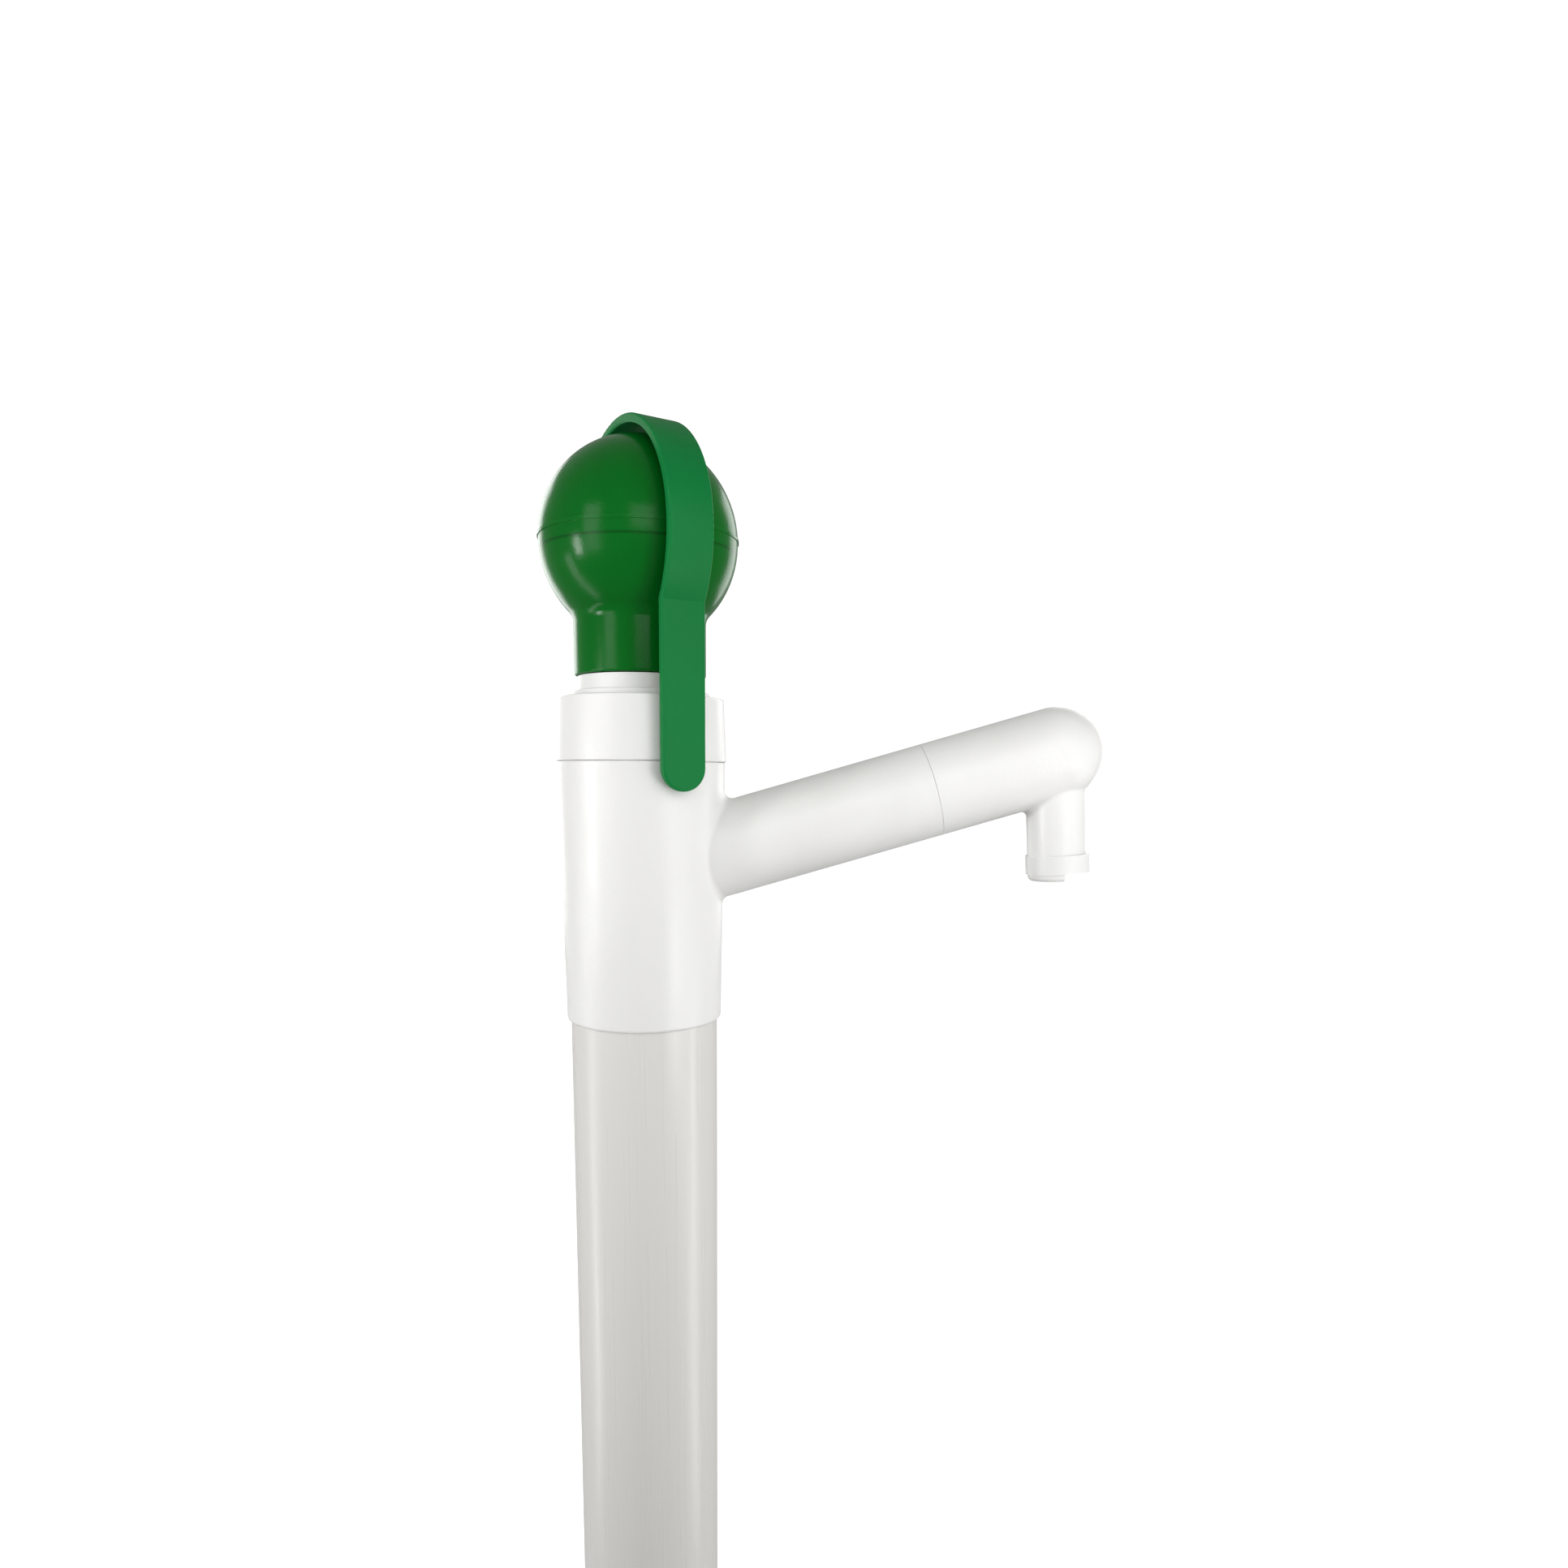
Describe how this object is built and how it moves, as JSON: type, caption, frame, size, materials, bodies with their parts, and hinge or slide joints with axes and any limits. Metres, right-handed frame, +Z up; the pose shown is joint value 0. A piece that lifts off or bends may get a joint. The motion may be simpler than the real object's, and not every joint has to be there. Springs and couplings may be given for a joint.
{
  "type": "hand well pump",
  "caption": "Upright hand well pump: a ball knob on a plunger rod lifts a piston in a plastic riser pipe, and water leaves through a rising side spout with a turned-down nozzle.",
  "frame": {"origin": "on the pump axis, at the strainer's foot face", "axes": "+Z up the pump axis towards the ball knob, +X on the side of the spout, +Y completes a right-handed frame"},
  "size_m": [0.187, 0.0729, 0.9459],
  "materials": {
    "white_plastic": "satin injection-moulded",
    "pipe_plastic": "extruded, slightly warm white",
    "rod_plastic": "extruded, wiped smooth",
    "green_plastic": "semi-gloss moulded green",
    "clip_plastic": "satin moulded green",
    "rubber": "moulded rubber",
    "stainless": "turned stainless steel",
    "brass_insert": "turned brass"
  },
  "bodies": {
    "pump_body": {"riser_pipe": "pipe_plastic", "head_body": "white_plastic", "spout_elbow": "white_plastic", "outlet_ring": "white_plastic", "gland_cap": "white_plastic", "gland_gasket": "rubber", "guide_bush": "white_plastic", "rod_wiper": "rubber", "rod_seal": "rubber", "seal_retainer": "white_plastic", "bush_circlip": "stainless", "foot_housing": "white_plastic", "valve_seat_ring": "rubber", "valve_cage": "white_plastic", "strainer": "white_plastic", "strainer_screws": "stainless"},
    "plunger": {"plunger_rod": "rod_plastic", "rod_foot_stud": "brass_insert", "rod_top_insert": "brass_insert", "rod_stop": "white_plastic", "rod_bumper": "rubber", "piston_plate": "white_plastic", "piston_seal": "rubber", "piston_follower": "white_plastic", "piston_washer": "stainless", "piston_nut": "stainless", "swivel_washer": "stainless", "knob_bolt": "stainless"},
    "knob": {"ball_lower_half": "green_plastic", "ball_upper_half": "green_plastic", "hinge_pin": "stainless"},
    "clip": {"handle_clip": "clip_plastic"},
    "piston_valve": {"piston_valve_disc": "rubber"},
    "foot_valve": {"foot_valve_disc": "white_plastic"}
  },
  "joints": [
    {"name": "plunger_stroke", "type": "slide", "parent": "pump_body", "child": "plunger", "axis": [0, 0, 1], "range_m": [0, 0.3]},
    {"name": "knob_turn", "type": "hinge", "parent": "plunger", "child": "knob", "pos_m": [0, 0, 0.9], "axis": [0, 0, 1], "continuous": true},
    {"name": "clip_swing", "type": "hinge", "parent": "knob", "child": "clip", "pos_m": [-0.01651, 0.0286, 0.92466], "axis": [-0.866, -0.5, 0], "range_deg": [0, 110]},
    {"name": "piston_valve_lift", "type": "slide", "parent": "plunger", "child": "piston_valve", "axis": [0, 0, 1], "range_m": [0, 0.006]},
    {"name": "foot_valve_lift", "type": "slide", "parent": "pump_body", "child": "foot_valve", "axis": [0, 0, 1], "range_m": [0, 0.008]}
  ]
}
